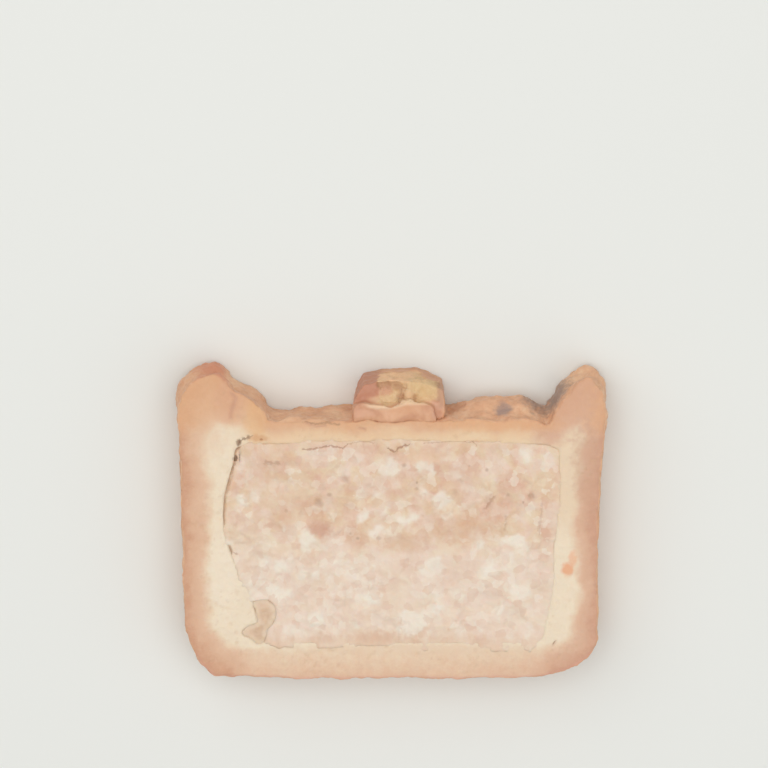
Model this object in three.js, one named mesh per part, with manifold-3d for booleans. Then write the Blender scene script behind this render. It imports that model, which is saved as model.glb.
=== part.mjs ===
// One slice cut from a long slicing pork pie, lying on its back cut face with the
// front cut face up. A hot-water pastry case with a raised, pinched rim runs round a
// coarse pork filling. A little jelly has set in one lower corner, and a folded strip
// of pastry trim lies along the middle of the lid.
//
// Millimetres. X runs across the pie, +Y from its base to its lid, and +Z from the
// back cut face, which the slice rests on, to the front cut face. The origin is the
// middle of the bounding box's bottom.

import * as THREE from "three";
import { LoftGeometry } from "three/addons/geometries/LoftGeometry.js";
import { ImprovedNoise } from "three/addons/math/ImprovedNoise.js";
import { mergeVertices } from "three/addons/utils/BufferGeometryUtils.js";
import Module from "manifold-3d";

const { smoothstep, lerp } = THREE.MathUtils;

// The slice
const SLICE_THICKNESS = 18;
const GAP = 0.3; // left between neighbours that touch

// The pastry case, outside
const UNDERSIDE = -0.5; // lowest point of the base, against the level that heights count from
const LEFT_FOOT = 58.2; // middle of the pie to the foot of a wall
const RIGHT_FOOT = 57.8;
const SHOULDER_WIDTH = 119.2; // under the rim, where the case is widest
const SHOULDER_HEIGHT = 72;
const LEFT_BULGE = 0.4; // how far a wall stands out of straight
const RIGHT_BULGE = -0.9;
const LID_HEIGHT = 74; // top of the lid at its middle
const LID_ARCH = 1.2; // how far the lid sinks towards its ends
const BASE_BOW = 1.1; // how far the base rises towards its corners
const LEFT_CORNER = { across: 8.5, up: 15 }; // rounding of the lower corners
const RIGHT_CORNER = { across: 15.5, up: 9.5 };
const CORNER_CUT = 0.22; // share of a corner's size that its rounding stands in from square
const CHIP = { x: -56.5, y: 8, reach: 2.6, depth: 0.7 }; // flaked out of the lower left corner

// The raised rim, as [x, height] from its outer shoulder over the crown to its foot on
// the lid. On the left the lid's own edge shows as a second, lower lobe past a crease.
const LEFT_RIM = [
  [-58.9, 82],
  [-50.2, 87.6],
  [-44.8, 82.6],
  [-40.6, 80.6],
  [-36.6, 77.4],
  [-34.6, 73.8],
];
const RIGHT_RIM = [
  [59.5, 81],
  [55, 86.6],
  [48.6, 80],
  [43.5, 73.5],
];
const RIM_RISE = 13.5; // crown above the lid
const CRIMP_PITCH = 15; // from one pinch of the rim to the next, along the loaf
const CRIMP_SWELL = 0.09; // share of the rim's height that a pinch takes away
const CRIMP_LEAN = 1.4; // sideways swing of the crown between pinches

// A puff in the lid's crust, right of the trim, and another in the right rim's inner flank
const LID_PUFF = { x: 31, z: 6.5, across: 13, deep: 7, height: 4.6 };
const RIM_PUFF = { x: 47.5, y: 80.5, z: 6.5, reach: 5, deep: 7, height: 2.6 };

// The pastry case, inside
const FLOOR_HEIGHT = 10; // top of the base
const LID_THICKNESS = 7;
const LID_CROWN = 0.8; // how far the meat domes up into the lid
const LEFT_INNER = 47.3; // middle of the pie to the inside of a wall
const RIGHT_INNER = 46.8;
const LEFT_FILLET = 11.2; // how far the pastry runs in at the lower left
const LEFT_FILLET_TOP = 46;
const RIGHT_FILLET = 2.8;
const RIGHT_LEAN = 1.8; // how far the right wall's inside comes in below the middle
const RIGHT_FILLET_TOP = 29;
const RIGHT_LEAN_TOP = 59;
const TOP_TUCK = 3.3; // how far the upper left inside corner comes in
const TUCK_LOW = 48;
const CORNER_SOFTENING = 3; // passes that round the cavity's corners

// Relief
const SKIN_RELIEF = { height: 0.45, size: 8 }; // baked outside
const LID_RELIEF = { height: 1.1, size: 8 };
const CUT_RELIEF = { height: 0.28, size: 9 }; // knife-cut pastry
const MEAT_RELIEF = { height: 0.75, size: 6.5 }; // coarse pork on the front cut face
const EDGE_RELIEF = { height: 0.45, size: 5 }; // ragged line between meat and pastry
const TRIM_RELIEF = { height: 0.55, size: 7 };
const MEAT_SUNK = 0.3; // how far the meat lies below the cut pastry on average

// The void along the upper left of the filling
const VOID = { width: 0.5, low: 36, run: 10 };

// The jelly in the lower left corner: round a pool beside the meat, down a neck and round
// a leaf-shaped tail under the pastry's corner
const JELLY_OUTLINE = [
  [-38.4, 21.6],
  [-37.9, 18.6],
  [-37.4, 15.6],
  [-40.3, 14.2],
  [-42.1, 12.5],
  [-39.6, 11.6],
  [-37.6, 9.9],
  [-35.7, 10.8],
  [-35.3, 13.8],
  [-33.5, 15.8],
  [-32.8, 18.8],
  [-34.4, 21.7],
];
const JELLY_SUNK = 0.5;

// The folded strip of pastry trim on the lid
const TRIM = {
  lower: { middle: 0.7, width: 24.4, height: 5.6 }, // folds, by their height above the lid
  upper: { middle: 1.9, width: 26.4, height: 11 },
  broken: 2.2, // how far the upper fold has broken back from the cut face
  sunk: 1.6, // depth of the strip's foot below the lid's own curve
  squareness: 0.45, // power that squares off the section's round
  taper: 0.08,
};
const HOLLOW = { x: 0, above: 7.4, across: 4, tall: 3, deep: 3.4 }; // torn in the upper fold's end

const noise = new ImprovedNoise();

// Each surface draws its relief from its own layer of the noise
const LAYER = { skin: 0, floor: 3.1, lid: 7.9, left: 11.3, right: 17.7, cut: 5.3, meat: 2.6, trim: 23.1 };

// Uneven relief at a point: lumps of the given size with smaller ones on them
function relief({ height, size }, layer, x, y = 0, z = 0) {
  const coarse = noise.noise(x / size + layer, y / size, z / size + 0.37);
  const fine = noise.noise((2.3 * x) / size, (2.3 * y) / size + layer, (2.3 * z) / size);
  return height * (1.3 * coarse + 0.5 * fine);
}

// The case outside

// Height of the base's underside at x
function baseUnderside(x) {
  return UNDERSIDE + BASE_BOW * (x / RIGHT_FOOT) ** 2;
}

// Height of the lid's top between the two rims at x
function lidTop(x) {
  const [footX] = RIGHT_RIM.at(-1);
  return LID_HEIGHT - LID_ARCH * (x / footX) ** 2;
}

// A lower corner from the base up to the wall; side is -1 on the left and 1 on the right
function lowerCorner({ across, up }, foot, side) {
  const low = baseUnderside(foot - across);
  return new THREE.QuadraticBezierCurve(
    new THREE.Vector2(side * (foot - across), low),
    new THREE.Vector2(side * (foot - CORNER_CUT * across), low + CORNER_CUT * up),
    new THREE.Vector2(side * foot, low + up),
  );
}

// An outer wall, from its lower corner to its shoulder
function outerWall(corner, foot, bulge, side) {
  const low = baseUnderside(foot - corner.across) + corner.up;
  return new THREE.QuadraticBezierCurve(
    new THREE.Vector2(side * foot, low),
    new THREE.Vector2(side * (foot + bulge), lerp(low, SHOULDER_HEIGHT, 0.55)),
    new THREE.Vector2((side * SHOULDER_WIDTH) / 2, SHOULDER_HEIGHT),
  );
}

// A rim from the wall's shoulder over its crown to its foot on the lid
function rimCurve(rim, side) {
  const shoulder = new THREE.Vector2((side * SHOULDER_WIDTH) / 2, SHOULDER_HEIGHT);
  return new THREE.SplineCurve([shoulder, ...rim.map(([x, y]) => new THREE.Vector2(x, y))]);
}

// Even steps along a curve, without its last point
const along = (curve, steps) => curve.getSpacedPoints(steps).slice(0, -1);
const backAlong = (curve, steps) => curve.getSpacedPoints(steps).reverse().slice(0, -1);

// A stretch of a height-over-x function, without its last point
function overX(height, from, to, steps) {
  return Array.from({ length: steps }, (_, i) => {
    const x = lerp(from, to, i / steps);
    return new THREE.Vector2(x, height(x));
  });
}

// A stretch of an x-over-height function, without its last point
function overHeight(across, from, to, steps) {
  return Array.from({ length: steps }, (_, i) => {
    const y = lerp(from, to, i / steps);
    return new THREE.Vector2(across(y), y);
  });
}

// Steps round the case, inside and out alike, from the base's left end anticlockwise
const STEPS = { base: 34, corner: 7, wall: 22, rim: 18, lid: 28 };

function outerOutline() {
  const baseLeft = -(LEFT_FOOT - LEFT_CORNER.across);
  const baseRight = RIGHT_FOOT - RIGHT_CORNER.across;
  const [rightFoot] = RIGHT_RIM.at(-1);
  const [leftFoot] = LEFT_RIM.at(-1);
  return [
    ...overX(baseUnderside, baseLeft, baseRight, STEPS.base),
    ...along(lowerCorner(RIGHT_CORNER, RIGHT_FOOT, 1), STEPS.corner),
    ...along(outerWall(RIGHT_CORNER, RIGHT_FOOT, RIGHT_BULGE, 1), STEPS.wall),
    ...along(rimCurve(RIGHT_RIM, 1), STEPS.rim),
    ...overX(lidTop, rightFoot, leftFoot, STEPS.lid),
    ...backAlong(rimCurve(LEFT_RIM, -1), STEPS.rim),
    ...backAlong(outerWall(LEFT_CORNER, LEFT_FOOT, LEFT_BULGE, -1), STEPS.wall),
    ...backAlong(lowerCorner(LEFT_CORNER, LEFT_FOOT, -1), STEPS.corner),
  ];
}

// The case inside

const CAVITY_TOP = LID_HEIGHT - LID_THICKNESS;

const floorTop = (x) => FLOOR_HEIGHT + relief(EDGE_RELIEF, LAYER.floor, x);

const lidUnderside = (x) => {
  const dome = LID_CROWN * Math.cos(x / (RIGHT_INNER / 2));
  return CAVITY_TOP + dome + relief(EDGE_RELIEF, LAYER.lid, x);
};

const leftInside = (y) => {
  const fillet = LEFT_FILLET * (1 - smoothstep(y, FLOOR_HEIGHT, LEFT_FILLET_TOP));
  const tuck = TOP_TUCK * smoothstep(y, TUCK_LOW, CAVITY_TOP);
  return -LEFT_INNER + fillet + tuck + relief(EDGE_RELIEF, LAYER.left, y);
};

const rightInside = (y) => {
  const fillet = RIGHT_FILLET * (1 - smoothstep(y, FLOOR_HEIGHT, RIGHT_FILLET_TOP));
  const lean = RIGHT_LEAN * (1 - smoothstep(y, RIGHT_FILLET_TOP, RIGHT_LEAN_TOP));
  return RIGHT_INNER - fillet - lean + relief(EDGE_RELIEF, LAYER.right, y);
};

function innerOutline() {
  const cornerTop = FLOOR_HEIGHT + 6; // the outside corners' steps end here
  const wallTop = CAVITY_TOP - 14; // and the walls' steps here
  const right = rightInside(CAVITY_TOP);
  const left = leftInside(CAVITY_TOP);
  const floorRight = rightInside(FLOOR_HEIGHT);
  const floorLeft = leftInside(FLOOR_HEIGHT);
  return [
    ...overX(floorTop, floorLeft, floorRight, STEPS.base),
    ...overHeight(rightInside, floorTop(floorRight), cornerTop, STEPS.corner),
    ...overHeight(rightInside, cornerTop, wallTop, STEPS.wall),
    ...overHeight(rightInside, wallTop, lidUnderside(right), STEPS.rim),
    ...overX(lidUnderside, right, left, STEPS.lid),
    ...overHeight(leftInside, lidUnderside(left), wallTop, STEPS.rim),
    ...overHeight(leftInside, wallTop, cornerTop, STEPS.wall),
    ...overHeight(leftInside, cornerTop, floorTop(floorLeft), STEPS.corner),
  ];
}

// Where a point of the baked outside lies at depth z. The rim swells and leans between
// its pinches, the lid puffs up, and the whole skin is uneven, most of all the lid.
function bakedSkin(p, outward, z) {
  const turn = (2 * Math.PI * (z - SLICE_THICKNESS)) / CRIMP_PITCH;
  const rise = Math.max(0, p.y - LID_HEIGHT);
  const pinch = CRIMP_SWELL * (1 - Math.cos(turn)) * rise;
  const lean = CRIMP_LEAN * Math.sin(turn) * (rise / RIM_RISE) * Math.sign(p.x);
  const lidEdge = LID_HEIGHT - 4;
  const onLid = smoothstep(p.y, lidEdge, lidEdge + 2) * (1 - smoothstep(p.y, LID_HEIGHT, LID_HEIGHT + 4));
  const { x, across, deep, height } = LID_PUFF;
  const puff = height * onLid * Math.exp(-(((p.x - x) / across) ** 4) - ((z - LID_PUFF.z) / deep) ** 2);
  const chipped = CHIP.depth * Math.exp(-(((p.x - CHIP.x) ** 2 + (p.y - CHIP.y) ** 2) / CHIP.reach ** 2));
  const fromRimPuff = ((p.x - RIM_PUFF.x) ** 2 + (p.y - RIM_PUFF.y) ** 2) / RIM_PUFF.reach ** 2;
  const rimPuff = RIM_PUFF.height * Math.exp(-fromRimPuff - ((z - RIM_PUFF.z) / RIM_PUFF.deep) ** 2);
  const uneven = lerp(
    relief(SKIN_RELIEF, LAYER.skin, p.x, p.y, z),
    relief(LID_RELIEF, LAYER.skin, p.x, p.y, z),
    onLid,
  );
  const away = uneven - chipped + rimPuff;
  return new THREE.Vector3(p.x + lean + away * outward.x, p.y - pinch + puff + away * outward.y, z);
}

// Outward direction of a closed outline at each of its points
function outwards(outline) {
  const n = outline.length;
  return outline.map((_, i) => {
    const before = outline[(i + n - 1) % n];
    const after = outline[(i + 1) % n];
    return new THREE.Vector2(after.y - before.y, before.x - after.x).normalize();
  });
}

// A closed outline with its corners rounded off a little more on each pass
function softened(outline, passes) {
  const n = outline.length;
  let points = outline;
  for (let pass = 0; pass < passes; pass++) {
    points = points.map((p, i) => {
      const middle = points[(i + 1) % n].clone().lerp(points[(i + n - 1) % n], 0.5);
      return p.clone().lerp(middle, 0.5);
    });
  }
  return points;
}

// A closed outline moved inwards by a stand-off that may change along it
function movedIn(outline, standOff) {
  const outward = outwards(outline);
  return outline.map((p, i) => p.clone().addScaledVector(outward[i], -standOff(p)));
}

// Steps through the slice on the outside, across the resting face, up the inside and
// across the front cut face
const SECTION_STEPS = { skin: 6, back: 2, inside: 3, front: 4 };

// The wall's own section at one place round the case: down the baked outside, in across
// the face that it rests on, up the inside and back out across the front cut face
function wallSection(outer, outward, inner) {
  const section = [];
  for (let i = 0; i < SECTION_STEPS.skin; i++) {
    section.push(bakedSkin(outer, outward, SLICE_THICKNESS * (1 - i / SECTION_STEPS.skin)));
  }
  const back = bakedSkin(outer, outward, 0);
  const backInner = new THREE.Vector3(inner.x, inner.y, 0);
  for (let i = 0; i < SECTION_STEPS.back; i++) {
    section.push(back.clone().lerp(backInner, i / SECTION_STEPS.back));
  }
  for (let i = 0; i < SECTION_STEPS.inside; i++) {
    section.push(new THREE.Vector3(inner.x, inner.y, (SLICE_THICKNESS * i) / SECTION_STEPS.inside));
  }
  for (let i = 0; i < SECTION_STEPS.front; i++) {
    const x = lerp(inner.x, section[0].x, i / SECTION_STEPS.front);
    const y = lerp(inner.y, section[0].y, i / SECTION_STEPS.front);
    section.push(new THREE.Vector3(x, y, SLICE_THICKNESS + relief(CUT_RELIEF, LAYER.cut, x, y)));
  }
  return section;
}

function pastryCase(inner) {
  const outer = outerOutline();
  const outward = outwards(outer);
  const sections = outer.map((p, i) => wallSection(p, outward[i], inner[i]));
  sections.push(sections[0]);
  return new LoftGeometry(sections);
}

// The filling

const MEAT_GRID = { rows: 32, columns: 48 };

// How far the meat stands off the pastry: a crack everywhere, a void on the upper left
function meatStandOff(p) {
  const onLeft = p.x < -0.75 * LEFT_INNER ? 1 : 0;
  return GAP + onLeft * VOID.width * smoothstep(p.y, VOID.low, VOID.low + VOID.run);
}

// A block larger than the cavity, flat where it rests and rough with lumps of coarse
// pork on the front cut face
function meatBlock() {
  const overlap = 3;
  const right = RIGHT_INNER + overlap;
  const low = FLOOR_HEIGHT - overlap;
  const top = CAVITY_TOP + overlap;
  const mean = SLICE_THICKNESS - MEAT_SUNK;
  const sections = Array.from({ length: MEAT_GRID.rows + 1 }, (_, row) => {
    const y = lerp(low, top, row / MEAT_GRID.rows);
    const front = Array.from({ length: MEAT_GRID.columns + 1 }, (_, column) => {
      const x = lerp(-right, right, column / MEAT_GRID.columns);
      return new THREE.Vector3(x, y, mean + relief(MEAT_RELIEF, LAYER.meat, x, y));
    });
    return [new THREE.Vector3(right, y, 0), new THREE.Vector3(-right, y, 0), ...front];
  });
  return new LoftGeometry(sections, { capStart: true, capEnd: true });
}

// An upright block of a given outline, from low to high
function prism(outline, low, high) {
  const shape = new THREE.Shape(outline);
  return new THREE.ExtrudeGeometry(shape, { depth: high - low, bevelEnabled: false }).translate(0, 0, low);
}

// The jelly, larger by grow all round
function jellyBlock(low, high, grow) {
  const steps = 36;
  const corners = JELLY_OUTLINE.map(([x, y]) => new THREE.Vector3(x, y, 0));
  const round = new THREE.CatmullRomCurve3(corners, true).getSpacedPoints(steps).slice(0, -1);
  const outline = round.map(({ x, y }) => new THREE.Vector2(x, y));
  return prism(movedIn(outline, () => -grow), low, high);
}

// The trim

// One section across a fold of the strip, squared off and a little narrower at its top
function foldSection({ middle, width, height }, z) {
  const sides = 26;
  const foot = lidTop(middle) - TRIM.sunk;
  const squared = (s) => Math.sign(s) * Math.abs(s) ** TRIM.squareness;
  return Array.from({ length: sides }, (_, i) => {
    const turn = (2 * Math.PI * i) / sides;
    const rise = (0.5 + 0.5 * squared(Math.sin(turn))) * (height + TRIM.sunk);
    const x = middle + (width / 2) * squared(Math.cos(turn)) * (1 - (TRIM.taper * rise) / height);
    const uneven = relief(TRIM_RELIEF, LAYER.trim, x, rise, z);
    const lift = uneven * Math.max(0, Math.sin(turn));
    return new THREE.Vector3(x + uneven * Math.cos(turn), foot + rise + lift, z);
  });
}

// A fold of the strip, from the resting face forward
function trimFold(fold, front) {
  const steps = 6;
  const sections = Array.from({ length: steps + 1 }, (_, i) => foldSection(fold, (front * i) / steps));
  return new LoftGeometry(sections, { capStart: true, capEnd: true });
}

// The hollow where the upper fold has torn at the cut
function trimHollow() {
  const ball = new THREE.SphereGeometry(1, 14, 10);
  ball.scale(HOLLOW.across, HOLLOW.tall, HOLLOW.deep);
  return ball.translate(HOLLOW.x, LID_HEIGHT + HOLLOW.above, SLICE_THICKNESS - TRIM.broken);
}

// Solids, cut and joined where neighbours meet

const wasm = await Module();
wasm.setup();

function toSolid(geometry) {
  const shell = new THREE.BufferGeometry();
  shell.setAttribute("position", geometry.getAttribute("position"));
  shell.setIndex(geometry.getIndex());
  const merged = mergeVertices(shell, 1e-3);
  return new wasm.Manifold(
    new wasm.Mesh({
      numProp: 3,
      vertProperties: new Float32Array(merged.attributes.position.array),
      triVerts: new Uint32Array(merged.index.array),
    }),
  );
}

function toGeometry(solid) {
  const mesh = solid.getMesh();
  const geometry = new THREE.BufferGeometry();
  geometry.setAttribute("position", new THREE.BufferAttribute(mesh.vertProperties, 3));
  geometry.setIndex(new THREE.BufferAttribute(mesh.triVerts, 1));
  geometry.computeVertexNormals();
  return geometry;
}

// The largest piece of a cut solid, without the slivers that cutting leaves
const mainPiece = (solid) => solid.decompose().reduce((a, b) => (a.volume() > b.volume() ? a : b));

const cavity = softened(innerOutline(), CORNER_SOFTENING);
const wholeCase = toSolid(pastryCase(cavity));
const meatOutline = softened(movedIn(cavity, meatStandOff), 2);
const OVERRUN = 3; // of cutting blocks past both faces
const meatPrism = prism(meatOutline, -OVERRUN, SLICE_THICKNESS + OVERRUN);
const meat = toSolid(meatBlock()).intersect(toSolid(meatPrism));
const pocket = toSolid(jellyBlock(-OVERRUN, SLICE_THICKNESS + OVERRUN, GAP));
const lip = toSolid(trimFold(TRIM.lower, SLICE_THICKNESS));
const upperFold = toSolid(trimFold(TRIM.upper, SLICE_THICKNESS - TRIM.broken));
let strip = lip.add(upperFold).subtract(toSolid(trimHollow()));
for (const sideways of [-GAP, 0, GAP]) {
  strip = strip.subtract(wholeCase.translate([sideways, GAP, 0]));
}

const solids = {
  pastry_case: mainPiece(wholeCase.subtract(pocket)),
  pork_filling: mainPiece(meat.subtract(pocket)),
  jelly: toSolid(jellyBlock(0, SLICE_THICKNESS - JELLY_SUNK, 0)),
  pastry_trim: mainPiece(strip),
};

const finishes = {
  pastry_case: { color: 0xdfb692, roughness: 0.75 },
  pork_filling: { color: 0xe2c3ab, roughness: 0.5 },
  jelly: { color: 0xc9ab8e, roughness: 0.2 },
  pastry_trim: { color: 0xd6a77f, roughness: 0.7 },
};

const slice = new THREE.Group();
slice.name = "pork_pie_slice";
for (const [name, solid] of Object.entries(solids)) {
  const material = new THREE.MeshStandardMaterial({ ...finishes[name], metalness: 0 });
  const mesh = new THREE.Mesh(toGeometry(solid), material);
  mesh.name = name;
  slice.add(mesh);
}

const box = new THREE.Box3().setFromObject(slice);
slice.position.set(-(box.min.x + box.max.x) / 2, -(box.min.y + box.max.y) / 2, -box.min.z);

export default slice;
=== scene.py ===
import math
import random

import bmesh
import bpy
import numpy as np
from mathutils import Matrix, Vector, kdtree, noise
from mathutils.bvhtree import BVHTree


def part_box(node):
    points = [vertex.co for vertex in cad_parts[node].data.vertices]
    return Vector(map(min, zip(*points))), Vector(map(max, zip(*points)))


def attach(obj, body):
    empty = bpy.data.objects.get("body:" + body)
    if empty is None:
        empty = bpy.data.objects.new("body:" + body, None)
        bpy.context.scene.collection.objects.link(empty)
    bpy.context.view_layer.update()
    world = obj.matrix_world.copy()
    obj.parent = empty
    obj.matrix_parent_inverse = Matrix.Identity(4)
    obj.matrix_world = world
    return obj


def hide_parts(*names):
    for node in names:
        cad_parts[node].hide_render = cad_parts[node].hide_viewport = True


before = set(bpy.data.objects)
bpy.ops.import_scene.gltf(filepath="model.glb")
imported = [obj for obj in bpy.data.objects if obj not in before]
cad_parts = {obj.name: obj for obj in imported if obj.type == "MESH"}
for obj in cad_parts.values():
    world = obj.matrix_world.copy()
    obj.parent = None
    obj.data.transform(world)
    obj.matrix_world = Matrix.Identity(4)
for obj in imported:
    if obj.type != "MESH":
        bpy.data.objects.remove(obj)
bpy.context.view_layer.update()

# The camera
# It stands square over the front cut face, tipped towards the lid by the lean that the
# slice has in the photo, and the slice fills the same place in the frame.
MM = 0.001
LEAN = math.radians(13)
FRAME_WIDTH = 214.2 * MM  # what the photo's whole width spans at the cut face
CAMERA_DISTANCE = 3000 * MM
AIM = Vector((-2.1, 41.04, 18)) * MM  # the cut face's plane at the middle of the photo

camera = bpy.data.objects.new("camera", bpy.data.cameras.new("camera"))
bpy.context.scene.collection.objects.link(camera)
camera.data.sensor_width = 36
camera.data.lens = camera.data.sensor_width * CAMERA_DISTANCE / FRAME_WIDTH
camera.rotation_euler = (-LEAN, 0, 0)
camera.location = AIM + CAMERA_DISTANCE * Vector((0, math.sin(LEAN), math.cos(LEAN)))
bpy.context.scene.camera = camera


# The pork filling
# Coarsely chopped cured pork, seasoned and packed into the raw case by hand, which sets
# firm as it bakes: lean and fat chunks of a few millimetres, pressed flat by the knife.
# It fits tight to the pastry except along the upper left, where it has shrunk away.
MEAT_VOXEL = 0.42 * MM
CHUNK_SPACING = 3.1 * MM
CHUNK_JITTER = 0.45  # share of the spacing
CHUNK_SWELL = 1.1 * MM  # how much more room the largest chunks take
CHUNK_LEVEL = 0.08 * MM  # how far one chunk stands above or below its neighbours
CHUNK_GRAIN = 0.07 * MM
CHUNK_BENDS = ((1.3 * MM, 3.2 * MM), (0.75 * MM, 1.3 * MM))  # how far, and at what size
FAT_SHARE = (0.05, 0.15)  # of the chunks near the lid, and how much more near the base
SEAM_WIDTH = 1.2 * MM  # soft edge between two chunks
SEAM_DEPTH = 0.12 * MM

# Larger pieces of back fat on the front cut face, in millimetres, with their radius
FAT_PIECES = [
    (-23.6, -4.6, 1.5), (-0.8, 17.0, 1.2), (-38.1, 10.0, 0.8), (-8.5, 2.1, 0.8),
    (-4.3, -1.3, 0.8), (10.2, 17.2, 1.3), (38.2, 20.5, 1.0), (35.9, -4.9, 1.7),
    (33.4, -9.9, 1.1), (2.1, 1.7, 0.8), (14.4, 7.7, 1.2), (5.6, 2.8, 0.8),
    (11.3, -11.9, 1.8), (27.0, -13.0, 1.4), (-31.0, -19.8, 1.3), (5.5, -28.0, 1.9),
]
FAT_DEPTHS = (0.5, 2.5)  # of the two seeds that each of them grows from
FAT_LESS = 1.1  # a seed's extra room is twice the radius less this

# Small hollows in the front cut face: place, radius and depth
PITS = [
    (-13.0, 13.5, 1.5, 0.5), (-20.4, 7.0, 1.5, 0.7), (-19.7, 10.8, 1.4, 0.3),
    (17.8, 9.7, 1.4, 0.3), (18.9, 13.0, 1.1, 0.2), (39.1, 8.7, 1.1, 0.6), (-25.3, 3.7, 0.9, 0.3),
]

# How far the meat's edge is smeared over the pastry's, and how much further over the
# base, at its left and in addition at its right
PRESSED_OUT = 0.8 * MM
PRESSED_OVER_BASE = (0.8 * MM, 1.2 * MM)
PRESSED_REACH = 3.2 * MM  # how wide a margin of the meat moves with its edge
BASE_MARGIN = (-32 * MM, -29 * MM)  # heights between which the smear on the base ends
EDGE_RISE = (0.12 * MM, 0.42 * MM)  # of a smeared edge, and how much more over the base

# The solids' own clearance between the meat and the pastry, and how much wider it is on
# the upper left, where the gap starts at one height and is full a little above it
CLEARANCE = 0.3 * MM
WIDER_CLEARANCE = 0.5 * MM
GAP_START = -7 * MM
GAP_RUN = 10 * MM
LEFT_MARGIN = -36 * MM  # the shrunk edge lies left of this
TOUCHING = 0.02 * MM

# The seam on the upper left: how far it gapes at some heights
SEAM_GAPES = [
    (-8.5, 0.0), (-6.5, 0.25), (-4.5, 0.0), (0.0, 0.0), (2.0, 0.2), (5.0, 0.35), (8.0, 0.55),
    (12.0, 0.8), (16.0, 0.5), (18.3, 0.5), (19.3, 0.9), (20.3, 0.4), (21.5, 0.2), (23.0, 0.0),
]
SEAM_DEPTHS = (0.3 * MM, 1.4 * MM)  # where it is narrow and where it is widest
SEAM_WIDEST = 19.3 * MM
GAPE_SIDE = (-41.7 * MM, -42.4 * MM)  # it gapes only left of these
GAPE_FLOOR = 12 * MM  # nothing below this height opens


def fine_copy(node, name, voxel):
    """A closed copy of a solid, merged and remeshed into small even faces"""
    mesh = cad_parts[node].data.copy()
    mesh.materials.clear()
    solid = bmesh.new()
    solid.from_mesh(mesh)
    bmesh.ops.remove_doubles(solid, verts=solid.verts, dist=0.002 * MM)
    solid.to_mesh(mesh)
    solid.free()
    piece = bpy.data.objects.new(name, mesh)
    bpy.context.scene.collection.objects.link(piece)
    remesh = piece.modifiers.new("even faces", "REMESH")
    remesh.mode = "VOXEL"
    remesh.voxel_size = voxel
    remesh.use_smooth_shade = True
    evaluated = piece.evaluated_get(bpy.context.evaluated_depsgraph_get())
    fine = bpy.data.meshes.new_from_object(evaluated)
    piece.modifiers.clear()
    piece.data = fine
    fine.name = name
    return piece


def smoothed(piece, passes):
    """Takes the facets off a piece"""
    shape = bmesh.new()
    shape.from_mesh(piece.data)
    for _ in range(passes):
        bmesh.ops.smooth_vert(
            shape, verts=shape.verts, factor=0.5, use_axis_x=True, use_axis_y=True, use_axis_z=True
        )
    shape.to_mesh(piece.data)
    shape.free()


def points_of(piece):
    """The piece's vertices and their normals, one row each"""
    count = len(piece.data.vertices)
    places = np.empty(3 * count)
    piece.data.vertices.foreach_get("co", places)
    normals = np.empty(3 * count)
    piece.data.vertex_normals.foreach_get("vector", normals)
    return places.reshape(-1, 3), normals.reshape(-1, 3)


def move_points(piece, places):
    """Puts the vertices in their new places, none of them below the resting face"""
    places[:, 2] = np.maximum(places[:, 2], 0)
    piece.data.vertices.foreach_set("co", places.ravel())
    piece.data.update()


def keep_values(piece, name, values):
    """Stores one number at each vertex for the piece's material"""
    layer = piece.data.attributes.new(name, "FLOAT", "POINT")
    layer.data.foreach_set("value", np.asarray(values, np.float32))


def step(values, low, high):
    """0 at low, 1 at high and smooth between"""
    share = np.clip((values - low) / (high - low), 0, 1)
    return share * share * (3 - 2 * share)


def lumps(places, size, layer=0, octaves=2):
    """Noise at each place, mostly from -1 to 1, with lumps of a given size"""
    shift = Vector((layer, 3.7 * layer, -1.3 * layer))
    return np.array([2 * noise.fractal(Vector(p) / size + shift, 1, 2, octaves) for p in places])


def oval(places, x, y, half_width=1, half_height=1):
    """How far places are from a point of the cut face, in half sizes; all in millimetres"""
    return np.hypot((places[:, 0] / MM - x) / half_width, (places[:, 1] / MM - y) / half_height)


def evened(piece, values, passes):
    """Values at the vertices, spread a little to their neighbours on each pass"""
    edges = np.empty(2 * len(piece.data.edges), int)
    piece.data.edges.foreach_get("vertices", edges)
    first, second = edges.reshape(-1, 2).T
    count = np.bincount(edges, minlength=len(values))
    for _ in range(passes):
        total = np.bincount(first, values[second], len(values))
        total += np.bincount(second, values[first], len(values))
        values = 0.5 * values + 0.5 * total / count
    return values


def search_tree(node, wanted):
    """A search tree of those faces of a solid that are wanted, by centre and normal"""
    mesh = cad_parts[node].data
    faces = [tuple(f.vertices) for f in mesh.polygons if wanted(f.center, f.normal)]
    return BVHTree.FromPolygons([v.co for v in mesh.vertices], faces)


meat_low, meat_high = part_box("pork_filling")
CAVITY_MARGIN = 1.8 * MM


def in_cavity(centre):
    """Whether a place lies within the pastry's cavity or on its walls"""
    return all(meat_low[i] - CAVITY_MARGIN < centre[i] < meat_high[i] + CAVITY_MARGIN for i in (0, 1))


def upright(normal):
    """Whether a face stands on the resting face, unlike the two cut ones"""
    return abs(normal.z) < 0.7


cavity_walls = search_tree("pastry_case", lambda centre, normal: upright(normal) and in_cavity(centre))

pork = fine_copy("pork_filling", "coarse_pork", MEAT_VOXEL)
smoothed(pork, 2)
places, normals = points_of(pork)
is_cut = step(np.abs(normals[:, 2]), 0.4, 0.8)
is_front = places[:, 2] > 0.5 * meat_high.z

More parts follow.
